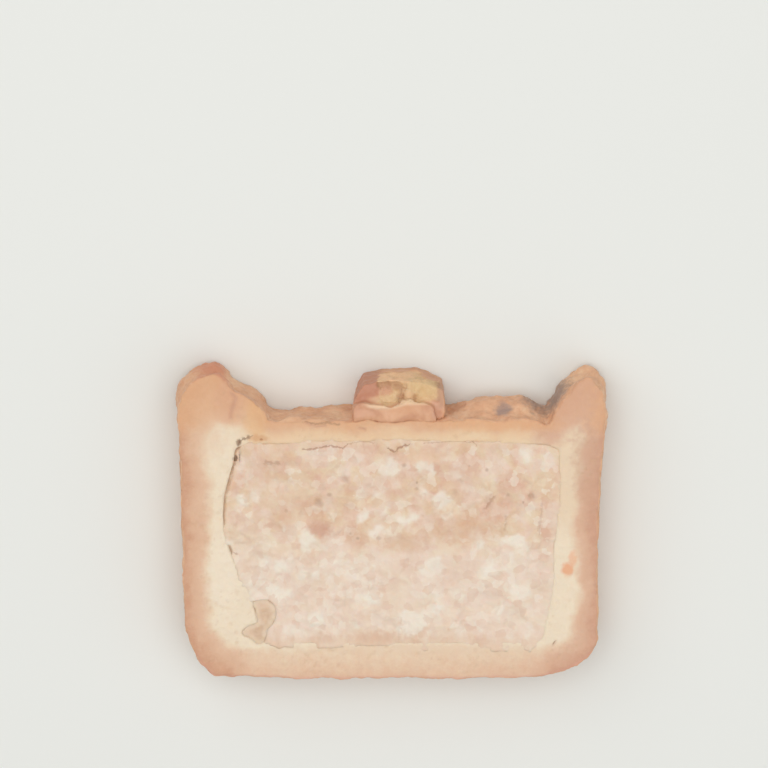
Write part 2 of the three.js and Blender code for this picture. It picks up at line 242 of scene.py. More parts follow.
# Seeds of the chunks, on a jittered lattice, and of the larger pieces of fat
draw = random.Random(5)
noise.seed_set(5)
seeds = []
counts = [math.ceil((meat_high[i] - meat_low[i]) / CHUNK_SPACING) + 3 for i in range(3)]
for i in range(counts[0]):
    for j in range(counts[1]):
        for k in range(counts[2]):
            jitter = Vector(draw.uniform(-CHUNK_JITTER, CHUNK_JITTER) for _ in range(3))
            place = meat_low + CHUNK_SPACING * (Vector((i - 1, j - 1, k - 1)) + jitter)
            low_down = (meat_high.y - place.y) / (meat_high.y - meat_low.y)
            is_fat = draw.random() < FAT_SHARE[0] + FAT_SHARE[1] * low_down**2
            seeds.append((place, draw.uniform(0, 1) * CHUNK_SWELL, draw.random(), float(is_fat)))
for x, y, radius in FAT_PIECES:
    for depth in FAT_DEPTHS:
        place = Vector((x, y, 0)) * MM + Vector((0, 0, meat_high.z - depth * MM))
        seeds.append((place, (2 * radius - FAT_LESS) * MM, 0.9, 1.0))
tree = kdtree.KDTree(len(seeds))
for i, (place, *_) in enumerate(seeds):
    tree.insert(place, i)
tree.balance()

fat = np.empty(len(places))
tone = np.empty(len(places))
level = np.empty(len(places))
seam = np.empty(len(places))
for row, p in enumerate(places):
    bent = Vector(p)
    for far, size in CHUNK_BENDS:
        bent += far * noise.noise_vector(Vector(p) / size)
    near = sorted((distance - seeds[i][1], i) for _, i, distance in tree.find_n(bent, 5))
    (first_distance, first), (second_distance, second) = near[:2]
    inward = min(1, (second_distance - first_distance) / SEAM_WIDTH)
    share = 0.5 + 0.5 * inward
    fat[row] = share * seeds[first][3] + (1 - share) * seeds[second][3]
    tone[row] = share * seeds[first][2] + (1 - share) * seeds[second][2]
    level[row] = tone[row] - 0.5 + 0.4 * fat[row]
    seam[row] = 1 - inward

torn = step(lumps(places, 7 * MM, 4), 0.1, 0.8)  # where the seams gape
# painted shade in the pits: darker where a pit is deeper, on top of the real sinking
pit_shade = np.zeros(len(places))
sunk = SEAM_DEPTH * seam * (0.4 + 1.4 * torn)
for x, y, radius, depth in PITS:
    away = oval(places, x, y, radius, radius) + 0.3 * lumps(places, 1.4 * MM, 9, 1)
    hole = is_front * (1 - step(away, 0.1, 1.1))
    pit_shade = np.maximum(pit_shade, hole * min(1, 1.4 * depth))
    sunk += depth * MM * hole
raised = CHUNK_LEVEL * 2 * level + CHUNK_GRAIN * lumps(places, 1 * MM, 3)
places += normals * (is_cut * (raised - sunk))[:, None]

# The edge is smeared over the pastry's by uneven amounts, which hides the seam, but on the
# upper left the meat has shrunk back from the pastry and a narrow gap stays open
rim_tree = kdtree.KDTree(len(places))
for row, p in enumerate(places):
    if is_front[row] and is_cut[row] > 0.5 and p[0] < LEFT_MARGIN:
        rim_tree.insert((p[0], p[1], 0), row)
rim_tree.balance()
smear = PRESSED_OUT * np.maximum(0.7, 1 + 0.6 * lumps(places, 3.5 * MM, 23))
low_edge = 1 - step(places[:, 1], *BASE_MARGIN)
to_the_right = step(places[:, 0], -5 * MM, 12 * MM)
smear += low_edge * (PRESSED_OVER_BASE[0] + PRESSED_OVER_BASE[1] * to_the_right)
gape_heights, gapes = np.array(SEAM_GAPES).T * MM
gape = np.interp(places[:, 1], gape_heights, gapes, left=0, right=0)
gape *= (1 + 0.4 * lumps(places, 1.4 * MM, 24, 1)) * step(places[:, 0], *GAPE_SIDE)
wide = 1 - step(np.abs(places[:, 1] - SEAM_WIDEST), 0.5 * MM, 1.1 * MM)
gape_depth = SEAM_DEPTHS[0] + (SEAM_DEPTHS[1] - SEAM_DEPTHS[0]) * wide
pressed = np.zeros_like(places)
gap_shade = np.zeros(len(places))
near_edge = np.zeros(len(places))
for row, p in enumerate(places):
    wall, _, _, distance = cavity_walls.find_nearest(Vector(p), PRESSED_REACH)
    if wall is None or distance < TOUCHING:
        continue
    beside_gap = (p[0] < LEFT_MARGIN) * min(1, max(0, (p[1] - GAP_START) / GAP_RUN))
    clearance = CLEARANCE + WIDER_CLEARANCE * beside_gap
    reach = min(1, 1 - (distance - clearance) / (PRESSED_REACH - clearance))
    towards = np.array(((wall.x - p[0]) / distance, (wall.y - p[1]) / distance, 0))
    amount = clearance + smear[row]
    near_edge[row] = reach
    if gape[row] > 0.05 * MM and p[2] > GAPE_FLOOR:
        _, rim_row, _ = rim_tree.find((p[0], p[1], 0))
        below = places[rim_row, 2] - p[2]
        is_open = 1 - min(1, max(0, (below - gape_depth[row]) / (0.4 * MM)))
        amount += is_open * (clearance - gape[row] - amount)
        gap_shade[row] = min(1, max(0, below / (0.5 * MM))) * reach
    pressed[row] = amount * reach * towards
places += pressed
rise = EDGE_RISE[0] + EDGE_RISE[1] * low_edge + 0.1 * MM * lumps(places, 3 * MM, 26, 1)
top_edge = step(places[:, 2], meat_high.z - 1.2 * MM, meat_high.z - 0.5 * MM)
places[:, 2] += rise * near_edge * (is_cut * is_front + (1 - is_cut) * low_edge * top_edge)
move_points(pork, places)
fat, tone = evened(pork, fat, 1), evened(pork, tone, 1)

keep_values(pork, "fat", fat)
keep_values(pork, "tone", tone)
keep_values(pork, "seam", np.clip(seam * (0.35 + torn), 0, 1))
keep_values(pork, "pit_shade", evened(pork, pit_shade, 1))
keep_values(pork, "gap", gap_shade)
keep_values(pork, "near edge", near_edge)
print("pork faces", len(pork.data.polygons))


def srgb(red, green, blue):
    """A colour as it looks on screen, from 0 to 255, in the scene's own numbers"""
    parts = [c / 255 for c in (red, green, blue)]
    return tuple(c / 12.92 if c <= 0.04045 else ((c + 0.055) / 1.055) ** 2.4 for c in parts) + (1,)


def node(tree, kind, inputs=None, **settings):
    """Adds a shader node and fills its inputs from numbers, colours or other sockets"""
    made = tree.nodes.new(kind)
    for name, value in settings.items():
        setattr(made, name, value)
    for key, value in (inputs or {}).items():
        if isinstance(value, bpy.types.NodeSocket):
            tree.links.new(value, made.inputs[key])
        else:
            made.inputs[key].default_value = value
    return made


def maths(tree, operation, *values):
    """The result of one sum, clamped to 0 and 1 where the operation ends in a bang"""
    clamp = operation.endswith("!")
    inputs = dict(enumerate(values))
    return node(tree, "ShaderNodeMath", inputs, operation=operation.rstrip("!"), use_clamp=clamp).outputs[0]


def vector_maths(tree, operation, *values, **named):
    """The result of one sum on vectors: a number for a length or a dot product"""
    inputs = {**dict(enumerate(values)), **named}
    made = node(tree, "ShaderNodeVectorMath", inputs, operation=operation)
    return made.outputs["Value" if operation in ("LENGTH", "DOT_PRODUCT") else "Vector"]


def parts_of(tree, where):
    """A place's three coordinates"""
    return node(tree, "ShaderNodeSeparateXYZ", {0: where}).outputs


def ranged(tree, value, low, high, to_low=0.0, to_high=1.0):
    """A value eased from one range to another and held at its ends"""
    inputs = {"Value": value, "From Min": low, "From Max": high, "To Min": to_low, "To Max": to_high}
    return node(tree, "ShaderNodeMapRange", inputs, interpolation_type="SMOOTHSTEP").outputs[0]


def mixed(tree, factor, first, second):
    """A colour between two others"""
    return node(tree, "ShaderNodeMix", {0: factor, 6: first, 7: second}, data_type="RGBA").outputs[2]


def tinted(tree, colour, tint, mask, strength):
    """A colour with a tint over it where a mask says; the tint is as on screen, from 0 to 255"""
    return mixed(tree, maths(tree, "MULTIPLY", mask, strength), colour, srgb(*tint))


def graded(tree, factor, stops):
    """A colour from a row of stops, each a position and a screen colour"""
    made = node(tree, "ShaderNodeValToRGB", {0: factor})
    elements = made.color_ramp.elements
    elements[0].position, elements[1].position = stops[0][0], stops[-1][0]
    elements[0].color, elements[1].color = srgb(*stops[0][1]), srgb(*stops[-1][1])
    for position, colour in stops[1:-1]:
        elements.new(position).color = srgb(*colour)
    return made.outputs[0]


def stored(tree, name):
    """One of the values kept at the vertices"""
    return node(tree, "ShaderNodeAttribute", attribute_name=name).outputs["Fac"]


def noisy(tree, where, size, detail=2.0, distortion=0.0):
    """Noise with lumps of a given size"""
    inputs = {"Vector": where, "Scale": 1 / size, "Detail": detail, "Distortion": distortion}
    return node(tree, "ShaderNodeTexNoise", inputs).outputs["Fac"]


def new_material(name):
    """An empty material, its shader and its Object coordinates"""
    made = bpy.data.materials.new(name)
    made.use_nodes = True
    tree = made.node_tree
    shader = tree.nodes["Principled BSDF"]
    return made, tree, shader, node(tree, "ShaderNodeTexCoord").outputs["Object"]


def set_relief(tree, shader, height, strength, distance):
    """Gives the shader a fine relief that follows a height"""
    bump = node(tree, "ShaderNodeBump", {"Strength": strength, "Distance": distance, "Height": height})
    tree.links.new(bump.outputs[0], shader.inputs["Normal"])


def let_light_in(shader, weight, radius, scale):
    """Lets light a little way into the surface, furthest in red, as food does"""
    shader.inputs["Subsurface Weight"].default_value = weight
    shader.inputs["Subsurface Radius"].default_value = radius
    shader.inputs["Subsurface Scale"].default_value = scale


def new_group(name, inputs, outputs):
    """An empty node group with named inputs and outputs"""
    group = bpy.data.node_groups.new(name, "ShaderNodeTree")
    for socket, kind, value in inputs:
        made = group.interface.new_socket(socket, in_out="INPUT", socket_type=kind)
        if value is not None:
            made.default_value = value
    for socket, kind in outputs:
        group.interface.new_socket(socket, in_out="OUTPUT", socket_type=kind)
    return group, node(group, "NodeGroupInput").outputs, node(group, "NodeGroupOutput").inputs


# A soft-edged stain round a place, ragged at its edge
stain_group, stain_in, stain_out = new_group(
    "Soft stain",
    [
        ("Vector", "NodeSocketVector", None),
        ("Wobble", "NodeSocketFloat", 0.5),
        ("Centre", "NodeSocketVector", (0, 0, 0)),
        ("Reach", "NodeSocketVector", (1, 1, 1)),
        ("Raggedness", "NodeSocketFloat", 0.3),
        ("Softness", "NodeSocketFloat", 0.4),
    ],
    [("Mask", "NodeSocketFloat")],
)
offset = vector_maths(stain_group, "SUBTRACT", stain_in["Vector"], stain_in["Centre"])
radius = vector_maths(stain_group, "LENGTH", vector_maths(stain_group, "DIVIDE", offset, stain_in["Reach"]))
wobble = maths(stain_group, "SUBTRACT", stain_in["Wobble"], 0.5)
swing = maths(stain_group, "MULTIPLY", stain_in["Raggedness"], 4.0)
ragged_radius = maths(stain_group, "MULTIPLY_ADD", wobble, swing, radius)
inner_edge = maths(stain_group, "SUBTRACT", 1.0, stain_in["Softness"])
outer_edge = maths(stain_group, "ADD", 1.0, stain_in["Softness"])
mask = ranged(stain_group, ragged_radius, inner_edge, outer_edge, 1.0, 0.0)
stain_group.links.new(mask, stain_out["Mask"])
STAIN_NOTCHES = 1.6 * MM  # size of the notches in a stain's edge


def stain(tree, where, centre, reach, raggedness, softness):
    """How strongly a stain at a place, in millimetres, shows; all of a material's share one noise"""
    ragged = tree.nodes.get("ragged")
    if ragged is None:
        inputs = {"Vector": where, "Scale": 1 / STAIN_NOTCHES, "Detail": 3}
        ragged = node(tree, "ShaderNodeTexNoise", inputs, name="ragged")
    inputs = {
        "Vector": where,
        "Wobble": ragged.outputs["Fac"],
        "Centre": tuple(MM * c for c in centre),
        "Reach": tuple(MM * r for r in reach),
        "Raggedness": raggedness,
        "Softness": softness,
    }
    return node(tree, "ShaderNodeGroup", inputs, node_tree=stain_group).outputs["Mask"]


def stained(tree, where, colour, stains, raggedness=0.3, softness=0.5):
    """A colour under some soft marks, stains and painted shade alike, each with its place, reach, strength
    and screen colour
    """
    for centre, reach, strength, tint in stains:
        mask = stain(tree, where, centre, reach, raggedness, softness)
        colour = tinted(tree, colour, tint, mask, strength)
    return colour


# One straight stretch of a crack
crack_group, crack_in, crack_out = new_group(
    "Fine crack",
    [
        ("Vector", "NodeSocketVector", None),
        ("Start", "NodeSocketVector", (0, 0, 0)),
        ("Run", "NodeSocketVector", (1, 0, 0)),
        ("Opening", "NodeSocketFloat", 1.0),
        ("Width", "NodeSocketFloat", 0.3 * MM),
    ],
    [("Mask", "NodeSocketFloat")],
)
offset = vector_maths(crack_group, "SUBTRACT", crack_in["Vector"], crack_in["Start"])
flat = vector_maths(crack_group, "MULTIPLY", offset, (1, 1, 0))
along = vector_maths(crack_group, "DOT_PRODUCT", flat, crack_in["Run"])
whole = vector_maths(crack_group, "DOT_PRODUCT", crack_in["Run"], crack_in["Run"])
share = maths(crack_group, "DIVIDE!", along, whole)
reached = vector_maths(crack_group, "SCALE", crack_in["Run"], Scale=share)
apart = vector_maths(crack_group, "LENGTH", vector_maths(crack_group, "SUBTRACT", flat, reached))
edge = maths(crack_group, "MULTIPLY", crack_in["Opening"], crack_in["Width"])
crack_group.links.new(ranged(crack_group, apart, 0.0, edge, 1.0, 0.0), crack_out["Mask"])
CRACK_FACE = (15 * MM, 16 * MM)  # cracks show above this height
CRACK_SWING = (0.9 * MM, 0.9 * MM, 0)
CRACK_TEARS = 0.9 * MM  # size of the tears along a crack
HALF = (0.5, 0.5, 0.5)


def cracked(tree, where, cracks):
    """How strongly any of some cracks, in millimetres, shows: uneven, like torn meat or crust"""
    rough = node(tree, "ShaderNodeTexNoise", {"Vector": where, "Scale": 1 / CRACK_TEARS, "Detail": 3}).outputs
    swing = vector_maths(tree, "SUBTRACT", rough["Color"], HALF)
    bent = vector_maths(tree, "MULTIPLY_ADD", swing, CRACK_SWING, where)
    opening = ranged(tree, rough["Fac"], 0.35, 0.7, 0.3, 1.3)
    darkest = 0.0
    for line, width, strength in cracks:
        for start, end in zip(line, line[1:]):
            inputs = {
                "Vector": bent,
                "Start": (start[0] * MM, start[1] * MM, 0),
                "Run": ((end[0] - start[0]) * MM, (end[1] - start[1]) * MM, 0),
                "Opening": opening,
                "Width": width * MM,
            }
            stretch = node(tree, "ShaderNodeGroup", inputs, node_tree=crack_group).outputs["Mask"]
            darkest = maths(tree, "MAXIMUM", maths(tree, "MULTIPLY", stretch, strength), darkest)
    return maths(tree, "MULTIPLY", darkest, ranged(tree, parts_of(tree, where)["Z"], *CRACK_FACE))


# Specks in the front cut face
SPECKS = [
    (-11.5, -2.0), (-9.4, -3.3), (-3.5, -3.3), (7.1, 12.6), (7.1, 10.9), (3.5, 17.6),
    (21.7, 17.5), (26.6, 16.4), (32.6, 9.1), (36.8, 7.0), (-29.5, 4.6), (-17.3, 9.3),
]
# Cracks in the front cut face: the points that they run through, their width and how dark
# the painted shade in them is
CRACKS = [
    (
        [(-24.6, 22.2), (-22.3, 22.3), (-19.1, 22.9), (-17.2, 23.3), (-13.8, 22.6), (-12.3, 23.7)],
        0.55,
        0.6,
    ),
    ([(-12.3, 23.7), (-8.7, 24.5), (-4.7, 24.1)], 0.4, 0.3),
    ([(-1.0, 22.5), (0.8, 21.5), (2.1, 22.7), (4.8, 23.6)], 0.75, 0.7),
    ([(9.1, 24.0), (14.6, 24.4), (17.9, 24.9), (22.2, 24.3)], 0.28, 0.35),
    ([(22.6, 24.7), (23.7, 23.5)], 0.4, 0.5),
    ([(28.5, 8.6), (27.6, 7.0), (26.5, 5.6)], 1.1, 0.4),
    ([(32.1, 2.8), (31.7, -0.9)], 0.8, 0.25),
    ([(42.1, 6.3), (41.7, 2.0), (41.2, -2.4)], 0.8, 0.25),
    ([(-35.3, 18.6), (-31.4, 18.3)], 1.1, 0.35),
    ([(-45.2, -5.6), (-44.6, -7.4), (-43.3, -7.9)], 0.6, 0.4),
]
# Redder, browner and paler places in the meat; the last three are painted shade along cracks
PORK_STAINS_AND_SHADE = [
    ((-20.0, -0.6, 18), (3.0, 2.0, 6), 0.8, (205, 158, 134)),
    ((-30.5, 2.0, 18), (3.2, 3.0, 6), 0.4, (216, 176, 142)),
    ((-24, 8, 18), (12, 6, 6), 0.3, (216, 182, 154)),
    ((-10.0, -3.0, 18), (3.2, 3.6, 6), 0.5, (214, 174, 145)),
    ((3, -4.5, 18), (7, 2.6, 6), 0.55, (214, 174, 143)),
    ((21, 0.0, 18), (9, 4.5, 6), 0.5, (214, 172, 142)),
    ((30, 5.5, 18), (5, 4.0, 6), 0.4, (217, 172, 142)),
    ((19, 13, 18), (5.0, 4, 6), 0.4, (216, 177, 151)),
    ((9, 20.5, 18), (6, 2.2, 6), 0.5, (224, 186, 152)),
    ((-36, 17, 18), (6, 6, 6), 0.35, (218, 184, 158)),
    ((-4, -33.6, 18), (48, 3.0, 6), 0.55, (221, 189, 162)),
    ((-18.5, -32.2, 18), (2.4, 1.3, 6), 0.5, (210, 174, 148)),
    ((-5.2, -32.2, 18), (6.0, 1.7, 6), 0.55, (212, 174, 146)),
    ((7.2, -33.8, 18), (1.6, 1.1, 6), 0.5, (208, 172, 146)),
    ((25, -33.2, 18), (2.6, 1.5, 6), 0.5, (212, 176, 152)),
    ((-28.2, -29.9, 18), (2.2, 1.6, 6), 0.6, (236, 226, 212)),
    ((-6.0, -11.0, 18), (4, 3, 6), 0.3, (234, 218, 202)),
    ((16, -15, 18), (6, 3.5, 6), 0.25, (224, 190, 168)),
    ((-40, -4, 18), (4.5, 8, 6), 0.4, (232, 214, 194)),
    # painted shade along cracks
    ((-33.0, 18.2, 18), (2.8, 0.7, 4), 0.5, (200, 168, 144)),
    ((-27.6, 18.3, 18), (2.2, 0.7, 4), 0.35, (204, 172, 148)),
    ((27.5, 7.2, 18), (1.4, 1.8, 4), 0.4, (204, 164, 138)),
]
FLECK_SIZE = 2.3 * MM
FLECK_BEND = (1.6 * MM, 1.6 * MM, 1.6 * MM)

pork_look, tree, shader, where = new_material("coarse pork")
height = parts_of(tree, where)["Y"]
mottle = noisy(tree, where, 1.3 * MM, 3, 0.8)
broad = noisy(tree, where, 8 * MM)
bend = node(tree, "ShaderNodeTexNoise", {"Vector": where, "Scale": 1 / (1.5 * MM), "Detail": 2})
swing = vector_maths(tree, "SUBTRACT", bend.outputs["Color"], HALF)
bent = vector_maths(tree, "MULTIPLY_ADD", swing, FLECK_BEND, where)
inputs = {"Vector": bent, "Scale": 1 / FLECK_SIZE, "Smoothness": 0.25}
flecks = node(tree, "ShaderNodeTexVoronoi", inputs, feature="SMOOTH_F1")
fleck = node(tree, "ShaderNodeSeparateColor", {0: flecks.outputs["Color"]}).outputs
warm = maths(tree, "MULTIPLY_ADD", stored(tree, "tone"), 0.6, 0.22)
for part, share in ((mottle, 0.6), (fleck["Green"], 0.35), (broad, 1.5)):
    warm = maths(tree, "MULTIPLY_ADD", maths(tree, "SUBTRACT", part, 0.5), share, warm)
pinkish = graded(
    tree,
    warm,
    [(0.0, (217, 178, 153)), (0.3, (223, 190, 166)), (0.6, (227, 200, 179)), (1.0, (230, 209, 191))],
)
beige = graded(tree, warm, [(0.0, (219, 184, 152)), (0.4, (225, 198, 168)), (1.0, (230, 212, 186))])
lean = mixed(tree, ranged(tree, noisy(tree, where, 5 * MM, 3, 0.5), 0.42, 0.6), pinkish, beige)
lean = tinted(tree, lean, (234, 217, 200), ranged(tree, height, 1 * MM, -12 * MM), 0.55)
fat_look = mixed(tree, mottle, srgb(232, 219, 200), srgb(238, 230, 216))
colour = mixed(tree, maths(tree, "MULTIPLY", stored(tree, "fat"), 0.85), lean, fat_look)
colour = tinted(tree, colour, (236, 223, 206), ranged(tree, fleck["Red"], 0.74, 0.86), 0.5)
colour = tinted(tree, colour, (214, 176, 152), ranged(tree, fleck["Blue"], 0.76, 0.9), 0.3)
colour = stained(tree, where, colour, PORK_STAINS_AND_SHADE, 0.35, 0.6)
beside_pastry = maths(tree, "MULTIPLY", ranged(tree, stored(tree, "near edge"), 0.2, 1), 0.5)
pastry_like = mixed(tree, ranged(tree, height, 8 * MM, -4 * MM), srgb(228, 199, 169), srgb(232, 214, 192))
pastry_like = mixed(tree, ranged(tree, height, -28 * MM, -31 * MM), pastry_like, srgb(226, 198, 170))
colour = mixed(tree, beside_pastry, colour, pastry_like)
colour = tinted(tree, colour, (200, 158, 130), stored(tree, "seam"), 0.14)
# painted shade in the pits
colour = tinted(tree, colour, (172, 134, 110), stored(tree, "pit_shade"), 0.5)
for i, (x, y) in enumerate(SPECKS):
    reach = 0.3 + 0.15 * (i % 3)
    speck = stain(tree, where, (x, y, 18), (reach, 0.6 * reach + 0.15, 3), 0.35, 0.7)
    colour = tinted(tree, colour, (158, 120, 98), speck, 0.3 + 0.1 * (i % 2))
crack = cracked(tree, where, CRACKS)
# painted shade: the cracks are drawn in colour with only a slight bump, and this dark stands for their shade
colour = mixed(tree, crack, colour, srgb(162, 112, 84))
# painted shade in the open seam, stronger where it is deeper
gap_shade_colour = mixed(tree, noisy(tree, where, 1.5 * MM), srgb(192, 162, 137), srgb(216, 190, 166))
colour = mixed(tree, stored(tree, "gap"), colour, gap_shade_colour)
tree.links.new(colour, shader.inputs["Base Color"])
wetness = ranged(tree, noisy(tree, where, 2.2 * MM), 0.3, 0.7, 0.42, 0.62)
tree.links.new(wetness, shader.inputs["Roughness"])
grain = maths(tree, "ADD", noisy(tree, where, 0.5 * MM, 3), maths(tree, "MULTIPLY", mottle, 0.7))
grain = maths(tree, "MULTIPLY_ADD", crack, -1.5, grain)
set_relief(tree, shader, grain, 0.35, 0.25 * MM)
let_light_in(shader, 0.25, (1.0, 0.55, 0.35), 1.2 * MM)
shader.inputs["Specular IOR Level"].default_value = 0.4

pork.data.materials.append(pork_look)
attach(pork, "root")
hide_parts("pork_filling")


# The jelly
# Pork stock poured in through the lid after baking, which set in the gap that the meat
# left in one lower corner. It is cloudy, wet and a little darker than the pastry.
JELLY_VOXEL = 0.3 * MM
JELLY_SPREAD = 0.7 * MM  # how far its edge runs over the meat and the pastry

jelly = fine_copy("jelly", "set_jelly", JELLY_VOXEL)
smoothed(jelly, 6)
places, normals = points_of(jelly)
is_cut = step(np.abs(normals[:, 2]), 0.4, 0.8)
jelly_sides = search_tree("jelly", lambda centre, normal: upright(normal))
inside = np.array([jelly_sides.find_nearest(Vector(p))[3] for p in places])
places += normals * (0.12 * MM * lumps(places, 2.5 * MM, 8) * is_cut)[:, None]
spread = (JELLY_SPREAD + 0.4 * MM * lumps(places, 2.0 * MM, 25)) * (1 - step(inside, 0, 1.2 * MM))
outward = normals[:, :2] / np.maximum(0.3, np.hypot(normals[:, 0], normals[:, 1]))[:, None]
places[:, :2] += outward * spread[:, None]
move_points(jelly, places)
keep_values(jelly, "middle", step(inside, 0.2 * MM, 1.4 * MM))

jelly_look, tree, shader, where = new_material("set jelly")
cloud = noisy(tree, where, 2.4 * MM, 3, 1.0)
height = parts_of(tree, where)["Y"]
colour = graded(tree, cloud, [(0.25, (206, 174, 144)), (0.5, (214, 184, 155)), (0.75, (221, 195, 168))])
colour = mixed(tree, ranged(tree, stored(tree, "middle"), 0, 1, 0.75, 0.0), colour, srgb(227, 203, 176))
colour = mixed(tree, ranged(tree, height, -27 * MM, -20 * MM, 0, 0.5), colour, srgb(222, 196, 170))
tree.links.new(colour, shader.inputs["Base Color"])
shader.inputs["Roughness"].default_value = 0.3
let_light_in(shader, 0.5, (1.0, 0.7, 0.45), 2 * MM)
set_relief(tree, shader, cloud, 0.2, 0.2 * MM)

jelly.data.materials.append(jelly_look)
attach(jelly, "root")
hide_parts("jelly")


# The pastry case
# Hot-water crust raised round a block, with the lid pinched to the walls in a rim and
# glazed with egg. The oven has browned it from the outside in, so that the cut shows a
# tan band which fades to pale, close crumb beside the meat.
CRUST_VOXEL = 0.5 * MM
LID_TOP = 30.3 * MM
FRONT_HALF = 9 * MM  # what lies above this belongs to the front cut face
WALLS_FROM = (38 * MM, 46 * MM)  # the walls start this far out from the middle
# How deep the browning fades out, and how brown it is at the skin and past the fade
BROWN_WALL = (8.7 * MM, 1.0, 0.0)
BROWN_BASE = (9.0 * MM, 0.5, 0.22)
BROWN_LID = (6.4 * MM, 0.95, 0.12)
BROWN_RIM = (14.0 * MM, 1.0, 0.5)
BROWN_CORNER = 3 * MM  # how much deeper it goes at the base's corners
BROWN_RIGHT_WALL = -1.3 * MM
PORE_DEPTH = 0.2 * MM
FOLD_DEPTH = 0.45 * MM
# Folds in the front cut face: where the left rim is creased, along the lid and by the base,
# each with its width
FOLDS = [
    ([(-44.4, 38.6), (-43.6, 36.6), (-44.6, 33.6), (-45.0, 31.5)], 1.0),
    ([(-23.8, 29.9), (-21.0, 28.8), (-18.4, 29.1)], 0.6),
    ([(-9.0, 28.4), (-7.4, 28.0)], 0.6),
    ([(33.6, 31.0), (38.4, 31.2), (42.4, 32.3)], 0.6),
    ([(38.7, -32.7), (39.8, -34.1)], 0.5),
    ([(46.0, -33.0), (45.3, -34.1)], 0.5),
]


def line_distance(places, line):
    """Distance in the cut face's plane from each place to a line through some points"""
    nearest = np.full(len(places), np.inf)
    for start, end in zip(line, line[1:]):
        a = np.array(start) * MM
        run = np.array(end) * MM - a
        share = np.clip(((places[:, :2] - a) @ run) / (run @ run), 0, 1)
        away = places[:, :2] - a - share[:, None] * run
        nearest = np.minimum(nearest, np.hypot(away[:, 0], away[:, 1]))
    return nearest


skin_faces = search_tree("pastry_case", lambda centre, normal: upright(normal) and not in_cavity(centre))

crust = fine_copy("pastry_case", "baked_crust", CRUST_VOXEL)
smoothed(crust, 4)
places, normals = points_of(crust)
is_cut = step(np.abs(normals[:, 2]), 0.5, 0.85)
depth = np.array([skin_faces.find_nearest(Vector(p))[3] for p in places])
is_skin = (1 - is_cut) * (1 - step(depth, 0.3 * MM, 0.9 * MM))
is_front = places[:, 2] > FRONT_HALF

up = places[:, 1]
inwards = 1 - step(np.abs(places[:, 0]), *WALLS_FROM)
on_rim = step(up, LID_TOP - 5 * MM, LID_TOP + 5 * MM) * (1 - inwards)
on_lid = step(up, LID_TOP - 8 * MM, LID_TOP - 5 * MM) * inwards
on_base = (1 - step(up, -39 * MM, -34 * MM)) * inwards
deeper = BROWN_CORNER * (1 - step(up, -42 * MM, -24 * MM)) * (1 - inwards)
deeper += BROWN_RIGHT_WALL * (places[:, 0] > 0) * step(up, -38 * MM, -28 * MM)
fade, strongest, weakest = (
    wall + (base - wall) * on_base + (lid - wall) * on_lid + (rim - wall) * on_rim
    for wall, base, lid, rim in zip(BROWN_WALL, BROWN_BASE, BROWN_LID, BROWN_RIM)
)
uneven = 0.9 * MM * lumps(places, 9 * MM, 12) + 0.3 * MM * lumps(places, 2.5 * MM, 14)
faded = np.clip((depth + uneven * step(depth, 0, 2 * MM)) / (fade + deeper), 0, 1)
bake = strongest + (weakest - strongest) * faded ** (1 + 0.5 * (1 - on_base) * (1 - on_lid))

crumb = 0.1 * MM * lumps(places, 1.6 * MM, 15, 3) + 0.12 * MM * lumps(places, 5 * MM, 16, 1)
pores = step(lumps(places, 1.1 * MM, 17, 1), 0.55, 0.95) * step(lumps(places, 6 * MM, 18, 1), -0.2, 0.6)
rougher = 1 + step(up, LID_TOP - 4 * MM, LID_TOP)
blisters = (0.14 * MM * lumps(places, 3.5 * MM, 19) + 0.05 * MM * lumps(places, 1.1 * MM, 20)) * rougher
chips = 0.12 * MM * lumps(places, 2.6 * MM, 21) * step(places[:, 2], 14.5 * MM, 18 * MM)
fold = np.zeros(len(places))
for line, width in FOLDS:
    near_line = 1 - step(line_distance(places, line), 0, width * MM)
    fold = np.maximum(fold, is_front * is_cut * near_line)
moved = is_cut * (crumb - PORE_DEPTH * pores) + is_skin * (blisters + chips) - FOLD_DEPTH * fold
places += normals * moved[:, None]
move_points(crust, places)
base_rind = (1 - step(depth, 0.2 * MM, 1.1 * MM)) * (up < -36 * MM)

keep_values(crust, "bake", bake)
keep_values(crust, "skin", is_skin)
keep_values(crust, "fold", fold)
keep_values(crust, "pores", pores)
keep_values(crust, "base rind", base_rind)
print("crust faces", len(crust.data.polygons))

# Crumb of baked pastry: fine mottling for colour and a height for bump
crumb_group, crumb_in, crumb_out = new_group(
    "Pastry crumb",
    [("Vector", "NodeSocketVector", None), ("Size", "NodeSocketFloat", 1.0)],
    [("Mottle", "NodeSocketFloat"), ("Height", "NodeSocketFloat")],
)
scaled = vector_maths(crumb_group, "SCALE", crumb_in["Vector"], Scale=crumb_in["Size"])
soft_mottle = noisy(crumb_group, scaled, 2.6 * MM, 4, 0.4)
fine_mottle = noisy(crumb_group, scaled, 0.55 * MM, 3)
finer = maths(crumb_group, "SUBTRACT", fine_mottle, 0.5)
mottle = maths(crumb_group, "MULTIPLY_ADD", finer, 0.6, soft_mottle)
inputs = {"Vector": scaled, "Scale": 1 / (0.9 * MM)}
cells = node(crumb_group, "ShaderNodeTexVoronoi", inputs, feature="SMOOTH_F1")
height = maths(crumb_group, "MULTIPLY_ADD", cells.outputs["Distance"], -0.5, fine_mottle)
crumb_group.links.new(mottle, crumb_out["Mottle"])
crumb_group.links.new(height, crumb_out["Height"])


def crumb_of(tree, where, size):
    """The crumb's mottling and height, finer where size is larger"""
    made = node(tree, "ShaderNodeGroup", {"Vector": where, "Size": size}, node_tree=crumb_group)
    return made.outputs["Mottle"], made.outputs["Height"]
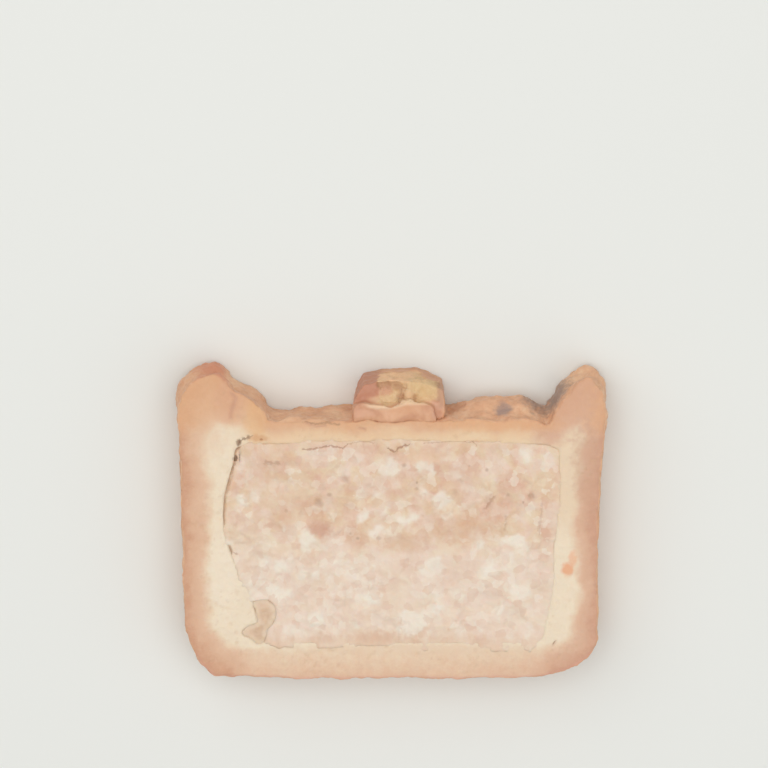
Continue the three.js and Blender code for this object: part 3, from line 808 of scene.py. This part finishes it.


# Cracks in the front cut face of the pastry, as on the pork: drawn in colour, their dark is painted shade
CRUST_CRACKS = [
    ([(-42.7, 24.2), (-41.5, 25.3), (-39.9, 25.7)], 1.0, 0.7),
    ([(-39.9, 25.7), (-38.7, 26.3)], 0.4, 0.45),
    ([(-43.5, 19.8), (-43.1, 21.8), (-42.8, 24.0)], 0.6, 0.55),
    ([(-24.5, 30.4), (-21.5, 29.6), (-18.0, 30.0), (-14.5, 29.4)], 0.7, 0.4),
    ([(38.7, -32.5), (39.6, -33.8)], 0.35, 0.6),
    ([(46.0, -32.8), (45.4, -33.8)], 0.35, 0.6),
    ([(46.5, 14.3), (46.1, 9.6)], 0.4, 0.5),
    ([(44.7, 5.2), (44.9, 1.7)], 0.35, 0.4),
]
# Marks on the cut pastry: an orange spot, browner and paler places, and two small holes drawn only as dark
# spots of painted shade
CUT_STAINS_AND_SHADE = [
    ((49.2, -12.2, 18), (1.5, 1.9, 3), 0.8, (231, 164, 122)),
    ((50.7, -9.4, 18), (1.2, 2.4, 3), 0.6, (232, 170, 130)),
    ((55.0, 17.0, 18), (4.0, 12.0, 6), 0.55, (203, 160, 134)),
    ((50.0, 38.0, 18), (7.0, 10.0, 6), 0.3, (206, 163, 146)),
    ((-52.0, 25.0, 18), (5.5, 5.0, 5), 0.4, (224, 190, 160)),
    ((-47.0, -14.0, 18), (4.0, 11.0, 6), 0.5, (237, 223, 202)),
    ((9.0, -35.4, 18), (34.0, 1.7, 4), 0.6, (224, 194, 166)),
    ((43.5, 25.3, 18), (4.6, 2.4, 3), 0.6, (213, 172, 146)),
    ((-37.9, 31.0, 18), (3.0, 6.5, 5), 0.5, (223, 176, 128)),
    ((-37.0, 25.5, 18), (2.4, 1.0, 3), 0.5, (205, 150, 105)),
    # painted shade of two small holes, which are not modelled
    ((-42.7, 24.3, 18), (0.6, 0.8, 3), 0.75, (140, 108, 84)),
    ((-43.8, 19.4, 18), (0.6, 0.6, 3), 0.6, (140, 108, 84)),
    ((-36.4, 25.1, 18), (0.4, 0.3, 3), 0.7, (176, 118, 80)),
    ((-45.3, 36.0, 18), (4.0, 6.0, 5), 0.3, (216, 170, 145)),
    ((28.0, 29.5, 18), (15, 2.0, 6), 0.5, (224, 172, 128)),
    ((-12.0, 29.0, 18), (7, 2.0, 6), 0.35, (222, 172, 130)),
]
# The left ear's darker tip, and darker grey-brown places on the right ear and the lid
SKIN_DARK_PATCHES = [
    ((-49.7, 43.6, 10), (6.5, 3.6, 14), 0.85, (214, 146, 116)),
    ((43.5, 36.5, 8), (6.5, 5.5, 8), 0.85, (146, 124, 114)),
]
LID_GREY_PATCH = [((31.2, 32.8, 12.5), (2.2, 2.0, 3.4), 0.8, (160, 138, 132))]

crust_look, tree, shader, where = new_material("baked crust")
mottle, relief = crumb_of(tree, where, 1.0)
across, height = parts_of(tree, where)["X"], parts_of(tree, where)["Y"]
baked = stored(tree, "bake")
spread = maths(tree, "MULTIPLY_ADD!", maths(tree, "SUBTRACT", mottle, 0.5), 0.3, baked)
cut = graded(
    tree,
    spread,
    [
        (0.0, (234, 217, 192)),
        (0.12, (231, 211, 184)),
        (0.28, (228, 201, 173)),
        (0.5, (222, 185, 156)),
        (0.8, (216, 175, 145)),
        (1.0, (206, 158, 128)),
    ],
)
cut = tinted(tree, cut, (208, 165, 146), ranged(tree, across, 20 * MM, 50 * MM, 0, 0.3), baked)
lid_share = maths(tree, "MULTIPLY", ranged(tree, height, 24 * MM, 30 * MM), baked)
cut = tinted(tree, cut, (228, 178, 132), lid_share, 0.5)
yellower = maths(tree, "MULTIPLY", ranged(tree, height, 20 * MM, 25 * MM), 0.65)
yellower = maths(tree, "MULTIPLY", yellower, ranged(tree, baked, 0.8, 0.4))
from_walls = ranged(tree, maths(tree, "ABSOLUTE", across), 46 * MM, 36 * MM)
cut = tinted(tree, cut, (230, 197, 158), yellower, from_walls)
right_wall = ranged(tree, across, 38 * MM, 46 * MM, 0, 0.75)
right_wall = maths(tree, "MULTIPLY", right_wall, ranged(tree, height, -6 * MM, 6 * MM))
cut = tinted(tree, cut, (228, 203, 173), right_wall, ranged(tree, baked, 0.55, 0.1))
cut = stained(tree, where, cut, CUT_STAINS_AND_SHADE)
cut = tinted(tree, cut, (196, 150, 128), stored(tree, "fold"), 0.5)
# painted shade: the pores are darkened a little as well as sunk
cut = tinted(tree, cut, (205, 172, 138), stored(tree, "pores"), 0.2)
cut = tinted(tree, cut, (217, 158, 144), stored(tree, "base rind"), 0.5)
# painted shade in the cracks
cut = mixed(tree, cracked(tree, where, CRUST_CRACKS), cut, srgb(128, 96, 72))
blotch = noisy(tree, where, 7 * MM, 4, 0.5)
freckle = noisy(tree, where, 1.3 * MM, 3)
tan_depth = maths(tree, "MULTIPLY_ADD!", maths(tree, "SUBTRACT", freckle, 0.5), 0.6, blotch)
skin = graded(
    tree,
    tan_depth,
    [(0.2, (236, 195, 158)), (0.45, (229, 180, 143)), (0.65, (219, 166, 130)), (0.85, (196, 140, 108))],
)
skin = stained(tree, where, skin, SKIN_DARK_PATCHES)
skin = stained(tree, where, skin, LID_GREY_PATCH, 0.3, 0.4)
colour = mixed(tree, stored(tree, "skin"), cut, skin)
tree.links.new(colour, shader.inputs["Base Color"])
glazed = maths(tree, "MULTIPLY", ranged(tree, height, 24 * MM, 32 * MM), stored(tree, "skin"))
tree.links.new(ranged(tree, glazed, 0, 1, 0.72, 0.45), shader.inputs["Roughness"])
set_relief(tree, shader, relief, 0.4, 0.22 * MM)
let_light_in(shader, 0.15, (1.0, 0.7, 0.4), 1 * MM)
shader.inputs["Specular IOR Level"].default_value = 0.35

crust.data.materials.append(crust_look)
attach(crust, "root")
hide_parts("pastry_case")


# The pastry trim
# A strip of the same pastry, folded over and stuck along the lid before baking. Its
# lower fold was cut clean, and the upper one tore, so that its pale crumb shows beside
# a piece of browned skin, with a hollow between them.
TRIM_VOXEL = 0.25 * MM
LIP_TOP = 35.9 * MM
TORN_FACE = 15.75 * MM
SOLID_HOLLOW = (0.1, 37.8, 4.48, 3.36)  # the solid's round hollow: its middle and half sizes
HOLLOW_LINE = [(-3.2, 40.4), (0.2, 40.5), (3.0, 39.5), (2.9, 37.6), (2.3, 35.4)]  # its deepest part
SHALLOW = (-1, 38, 3.4, 2.4)  # the shallow place between the hollow's two ends
KNOB = (4.8, 37.4)  # a small raised crumb beside the hollow
KNOB_HEIGHT = 0.5 * MM
HOLLOW_DEPTH = 1.1 * MM
SHALLOW_DEPTH = 0.5 * MM
LIP_SAG = 1.4 * MM
LIP_DROOP = 0.6 * MM  # how far the lip's underside hangs towards the lid
TOP_SLANT = 2.2 * MM  # how far the left end leans in at its top
TOP_DROPS = (1.6 * MM, 0.5 * MM)  # how far the top sinks at the right and at the left
TEAR_START = -3.6 * MM  # the browned skin lies left of this

trim = fine_copy("pastry_trim", "folded_trim", TRIM_VOXEL)
smoothed(trim, 2)
places, normals = points_of(trim)
across, up, deep = places.T
in_hollow = (oval(places, *SOLID_HOLLOW) < 1) & (deep > 9 * MM) & (normals[:, 2] > -0.3)
in_hollow &= up > LIP_TOP - 0.4 * MM
on_face = in_hollow | ((deep > 15 * MM) & (normals[:, 2] > 0.5) & (up > LIP_TOP))
from_line = line_distance(places, HOLLOW_LINE) + 0.4 * MM * lumps(places, 1.6 * MM, 35)
dent = 1 - step(from_line, 0.2 * MM, 1.7 * MM)
shallow = 1 - step(oval(places, *SHALLOW), 0.6, 1.2)
knob = 1 - step(oval(places, *KNOB), 0.6, 2.2)
places[:, 2] = np.where(in_hollow, np.maximum(deep, TORN_FACE), deep)
places[:, 2] += on_face * (KNOB_HEIGHT * knob - HOLLOW_DEPTH * dent - SHALLOW_DEPTH * shallow)
move_points(trim, places)
# this mask carries painted shade along the hollow's deepest part
keep_values(trim, "hollow", dent * on_face)
smoothed(trim, 3)
places, normals = points_of(trim)
across, up, deep = places.T
under = step(-normals[:, 1], 0.5, 0.8) * (up < LIP_TOP)
places[:, 1] -= LIP_DROOP * under
sag = LIP_SAG * (1 - step(np.abs(across + 2.4 * MM), 1 * MM, 8 * MM))
places[:, 1] -= sag * step(deep, 15 * MM, 17 * MM) * (1 - step(np.abs(up - LIP_TOP), 0.5 * MM, 2.2 * MM))
above_lip = step(up + sag * (deep < 16.5 * MM), LIP_TOP - 0.6 * MM, LIP_TOP + 0.1 * MM)
tear = TEAR_START + 0.8 * MM * lumps(places, 2.5 * MM, 31)
torn_back = 5 * MM + 2.5 * MM * lumps(places, 5 * MM, 36, 1)
torn = above_lip * step(across - tear, -0.4 * MM, 0.4 * MM) * step(deep, torn_back, torn_back + 1.5 * MM)
torn *= 1 - step(across, 12.6 * MM, 14 * MM)
slant = TOP_SLANT * step(up, 33 * MM, 43 * MM) * (1 - step(across, -11 * MM, -7 * MM))
places[:, 0] += slant
drop = TOP_DROPS[0] * step(across, 6 * MM, 14 * MM) + TOP_DROPS[1] * (1 - step(across, -6 * MM, -3 * MM))
places[:, 1] -= drop * step(up, 38 * MM, 42 * MM)
# painted highlight: a pale band along the lip's top edge, right of its left end
lip_edge = np.hypot(places[:, 1] - LIP_TOP + sag, places[:, 2] - 17.6 * MM)
edge = (1 - step(lip_edge, 0.4 * MM, 1.3 * MM)) * step(places[:, 0], -9 * MM, -6 * MM)
crumbly = 0.22 * MM * lumps(places, 2.2 * MM, 32, 3) + 0.5 * MM * lumps(places, 5 * MM, 34, 1)
blisters = 0.12 * MM * lumps(places, 2.4 * MM, 33)
places += normals * (torn * crumbly + (1 - torn) * blisters)[:, None]
move_points(trim, places)
keep_values(trim, "torn", evened(trim, torn, 2))
keep_values(trim, "edge", edge)

# The red left end, then darker and paler places on the torn face and on the lip, with painted
# shade along the right end and beside the knob, and the pale wedge under the hollow
RED_END = [((-8.5, 40.2, 12), (6.0, 6.0, 14), 0.9, (190, 129, 101))]
TRIM_STAINS_AND_SHADE = [
    ((8.5, 39.5, 16), (4.5, 2.6, 6), 0.4, (217, 184, 132)),
    ((12.6, 33.5, 17), (1.5, 3.0, 6), 0.6, (206, 156, 130)),
    # the next two are painted shade along the right end
    ((14.0, 38.0, 14), (1.4, 4.0, 8), 0.7, (188, 142, 112)),
    ((14.2, 40.2, 14), (1.6, 1.2, 8), 0.6, (176, 128, 100)),
    ((4.6, 37.6, 15), (1.9, 2.0, 4), 0.5, (224, 180, 142)),
    # painted shade along the knob's right side
    ((6.5, 36.4, 15), (0.5, 1.3, 3), 0.6, (190, 145, 108)),
    ((1.0, 42.0, 14), (1.0, 0.4, 3), 0.5, (188, 144, 112)),
    ((-1.7, 38.5, 15), (2.0, 1.6, 4), 0.7, (210, 156, 130)),
    ((-8.5, 32.6, 18), (3.5, 1.2, 4), 0.4, (226, 176, 148)),
    ((2.5, 33.8, 18), (4.0, 1.4, 4), 0.4, (218, 162, 120)),
]
WEDGE = [((-3.0, 36.1, 15), (3.2, 0.9, 4), 0.55, (224, 190, 148))]

trim_look, tree, shader, where = new_material("folded trim")
mottle, relief = crumb_of(tree, where, 1.2)
height = parts_of(tree, where)["Y"]
blotch = noisy(tree, where, 6 * MM, 3, 0.6)
skin = graded(tree, blotch, [(0.25, (226, 178, 143)), (0.5, (214, 162, 126)), (0.75, (194, 136, 102))])
skin = stained(tree, where, skin, RED_END, 0.15, 0.25)
inside = graded(tree, mottle, [(0.25, (211, 172, 128)), (0.5, (219, 184, 140)), (0.75, (225, 194, 153))])
inside = mixed(tree, ranged(tree, height, 40.3 * MM, 42 * MM, 0, 0.85), inside, srgb(242, 193, 152))
colour = mixed(tree, stored(tree, "torn"), skin, inside)
colour = stained(tree, where, colour, TRIM_STAINS_AND_SHADE)
# painted shade in the hollow
colour = tinted(tree, colour, (186, 140, 106), stored(tree, "hollow"), 0.75)
colour = stained(tree, where, colour, WEDGE, 0.15, 0.5)
# painted highlight along the lip's top edge
colour = tinted(tree, colour, (238, 206, 170), stored(tree, "edge"), 0.7)
tree.links.new(colour, shader.inputs["Base Color"])
tree.links.new(ranged(tree, stored(tree, "torn"), 0, 1, 0.5, 0.75), shader.inputs["Roughness"])
set_relief(tree, shader, relief, 0.25, 0.22 * MM)
let_light_in(shader, 0.15, (1.0, 0.7, 0.4), 1 * MM)

trim.data.materials.append(trim_look)
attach(trim, "root")
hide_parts("pastry_trim")


# The floor and the light
# A plain pale floor under soft studio light: a broad lamp above the lid's left end, a
# weaker one opposite it, a third almost straight overhead and an even, pale surround.
FLOOR_SIZE = 4  # in metres
floor_mesh = bpy.data.meshes.new("floor")
sheet = bmesh.new()
bmesh.ops.create_grid(sheet, x_segments=1, y_segments=1, size=FLOOR_SIZE / 2)
sheet.to_mesh(floor_mesh)
sheet.free()
floor = bpy.data.objects.new("floor", floor_mesh)
bpy.context.scene.collection.objects.link(floor)
floor_look, _, shader, _ = new_material("pale floor")
shader.inputs["Base Color"].default_value = srgb(230, 231, 226)
shader.inputs["Roughness"].default_value = 0.8
floor.data.materials.append(floor_look)

# Each lamp's place and width in metres, and its power in watts
for name, place, size, power in (
    ("broad lamp", (-0.55, 0.55, 0.9), 1.2, 3.3),
    ("weak lamp", (0.7, -0.35, 0.8), 1.2, 1.7),
    ("overhead lamp", (0.05, 0.15, 1.2), 1.1, 5.7),
):
    lamp = bpy.data.objects.new(name, bpy.data.lights.new(name, "AREA"))
    bpy.context.scene.collection.objects.link(lamp)
    lamp.data.shape = "SQUARE"
    lamp.data.size = size
    lamp.data.energy = power
    lamp.location = place
    lamp.rotation_euler = (-Vector(place)).to_track_quat("-Z", "Y").to_euler()
surround = bpy.data.worlds.new("surround")
surround.use_nodes = True
background = surround.node_tree.nodes["Background"].inputs
background["Color"].default_value = (1, 1, 1, 1)
background["Strength"].default_value = 0.5
bpy.context.scene.world = surround
bpy.context.scene.view_settings.view_transform = "Standard"
